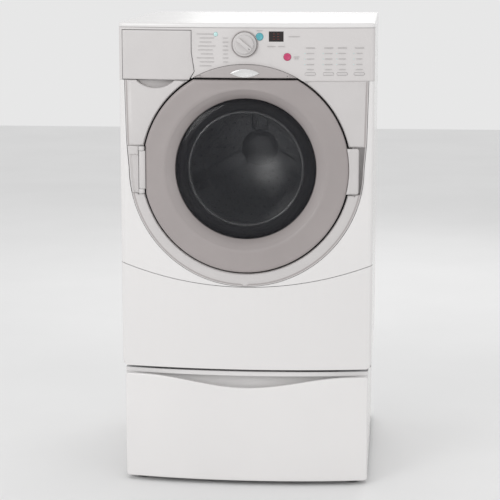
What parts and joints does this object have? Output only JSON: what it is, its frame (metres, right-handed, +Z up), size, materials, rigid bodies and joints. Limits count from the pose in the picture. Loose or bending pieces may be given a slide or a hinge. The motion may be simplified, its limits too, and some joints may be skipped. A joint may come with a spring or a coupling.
{
  "type": "front load washing machine",
  "caption": "Front load washer with a round door, control console, detergent drawer and a matching pedestal with a storage drawer.",
  "frame": {"origin": "on the floor, at the middle of the object's box", "axes": "+Z up; the door and drawers face -Y; +X to the right seen from the front"},
  "size_m": [0.686, 0.8, 1.27],
  "materials": {
    "white_enamel": "gloss white baked enamel on steel",
    "white_plastic": "satin white moulded plastic",
    "grey_facia": "satin light warm grey moulded plastic",
    "door_grey": "satin warm grey moulded plastic",
    "crown_grey": "satin warm grey moulded plastic",
    "dark_glass": "smoked polished window",
    "bowl_glass": "clear pressed glass",
    "gasket_rubber": "matt grey moulded rubber",
    "black_rubber": "matt black rubber",
    "stainless": "brushed stainless sheet",
    "zinc_steel": "galvanised steel with a dull spangle",
    "cast_alloy": "die-cast alloy with a sand texture",
    "cast_iron": "painted cast housing",
    "concrete": "cast concrete",
    "bright_plate": "satin bright plate",
    "black_plastic": "matt black moulded plastic",
    "tub_plastic": "filled polypropylene",
    "display_dark": "smoked gloss window",
    "indicator": "pale translucent lens",
    "teal_button": "gloss teal plastic",
    "red_button": "gloss pink-red plastic",
    "circuit_green": "coated circuit board",
    "valve_blue": "moulded blue plastic"
  },
  "bodies": {
    "cabinet": {"side_panel_left": "white_enamel", "side_panel_right": "white_enamel", "rear_panel": "zinc_steel", "rear_service_cover": "zinc_steel", "top_panel": "white_enamel", "top_brace": "zinc_steel", "base_pan": "zinc_steel", "front_panel": "white_enamel", "lower_service_panel": "white_enamel", "facia_trim": "grey_facia", "console_panel": "grey_facia", "crown_trim": "crown_grey", "crown_plate": "bright_plate", "display_window": "display_dark", "status_light": "indicator", "control_board": "circuit_green", "dispenser_housing": "white_plastic", "inlet_valves": "valve_blue", "fill_hose": "black_rubber", "tub_front": "tub_plastic", "tub_rear": "tub_plastic", "door_gasket": "gasket_rubber", "front_counterweight": "concrete", "top_counterweight": "concrete", "tub_springs": "zinc_steel", "shock_absorbers": "black_plastic", "shaft_bearings": "stainless", "motor": "cast_iron", "drive_belt": "black_rubber", "drain_pump": "white_plastic", "sump_hose": "black_rubber", "drain_hose": "black_rubber", "power_cord_gland": "black_plastic", "door_lock": "black_plastic", "hinge_bracket": "zinc_steel", "hinge_cover": "grey_facia", "pedestal_cabinet": "white_enamel", "pedestal_rails": "zinc_steel", "pedestal_brackets": "zinc_steel", "levelling_feet": "black_rubber"},
    "door": {"door_frame": "door_grey", "door_window": "dark_glass", "door_bowl": "bowl_glass", "door_inner_frame": "white_plastic", "door_handle": "grey_facia", "hinge_arm": "grey_facia", "door_strike": "stainless"},
    "drum_assembly": {"drum": "stainless", "drum_spider": "cast_alloy", "drum_pulley": "cast_alloy"},
    "motor_rotor": {"motor_pulley": "cast_alloy"},
    "detergent_drawer": {"dispenser_drawer": "grey_facia"},
    "knob": {"cycle_knob": "grey_facia"},
    "power_key": {"power_button": "teal_button"},
    "start_key": {"start_button": "red_button"},
    "option_key_1": {"option_button_1": "grey_facia"},
    "option_key_2": {"option_button_2": "grey_facia"},
    "option_key_3": {"option_button_3": "grey_facia"},
    "option_key_4": {"option_button_4": "grey_facia"},
    "storage_drawer": {"pedestal_drawer": "white_enamel"}
  },
  "joints": [
    {"name": "door_hinge", "type": "hinge", "parent": "cabinet", "child": "door", "pos_m": [-0.281, -0.361, 0.879], "axis": [0, 0, -1], "range_deg": [0, 150]},
    {"name": "drum_spin", "type": "hinge", "parent": "cabinet", "child": "drum_assembly", "pos_m": [0, 0, 0.879], "axis": [0, 1, 0], "continuous": true},
    {"name": "motor_spin", "type": "hinge", "parent": "cabinet", "child": "motor_rotor", "pos_m": [-0.07, 0.2, 0.5], "axis": [0, 1, 0], "continuous": true},
    {"name": "detergent_drawer_slide", "type": "slide", "parent": "cabinet", "child": "detergent_drawer", "axis": [0, -1, 0], "range_m": [0, 0.19]},
    {"name": "knob_turn", "type": "hinge", "parent": "cabinet", "child": "knob", "pos_m": [-0.001, -0.38, 1.214], "axis": [0, -1, 0], "continuous": true},
    {"name": "power_press", "type": "slide", "parent": "cabinet", "child": "power_key", "axis": [0, 1, 0], "range_m": [0, 0.0015], "stiffness_N_per_m": 1000, "springref_m": -0.001},
    {"name": "start_press", "type": "slide", "parent": "cabinet", "child": "start_key", "axis": [0, 1, 0], "range_m": [0, 0.0015], "stiffness_N_per_m": 1000, "springref_m": -0.001},
    {"name": "option_press_1", "type": "slide", "parent": "cabinet", "child": "option_key_1", "axis": [0, 1, 0], "range_m": [0, 0.0015], "stiffness_N_per_m": 1000, "springref_m": -0.001},
    {"name": "option_press_2", "type": "slide", "parent": "cabinet", "child": "option_key_2", "axis": [0, 1, 0], "range_m": [0, 0.0015], "stiffness_N_per_m": 1000, "springref_m": -0.001},
    {"name": "option_press_3", "type": "slide", "parent": "cabinet", "child": "option_key_3", "axis": [0, 1, 0], "range_m": [0, 0.0015], "stiffness_N_per_m": 1000, "springref_m": -0.001},
    {"name": "option_press_4", "type": "slide", "parent": "cabinet", "child": "option_key_4", "axis": [0, 1, 0], "range_m": [0, 0.0015], "stiffness_N_per_m": 1000, "springref_m": -0.001},
    {"name": "storage_drawer_slide", "type": "slide", "parent": "cabinet", "child": "storage_drawer", "axis": [0, -1, 0], "range_m": [0, 0.45]}
  ],
  "couplings": [
    {"joint": "motor_spin", "follows": "drum_spin", "ratio": 12.5}
  ]
}
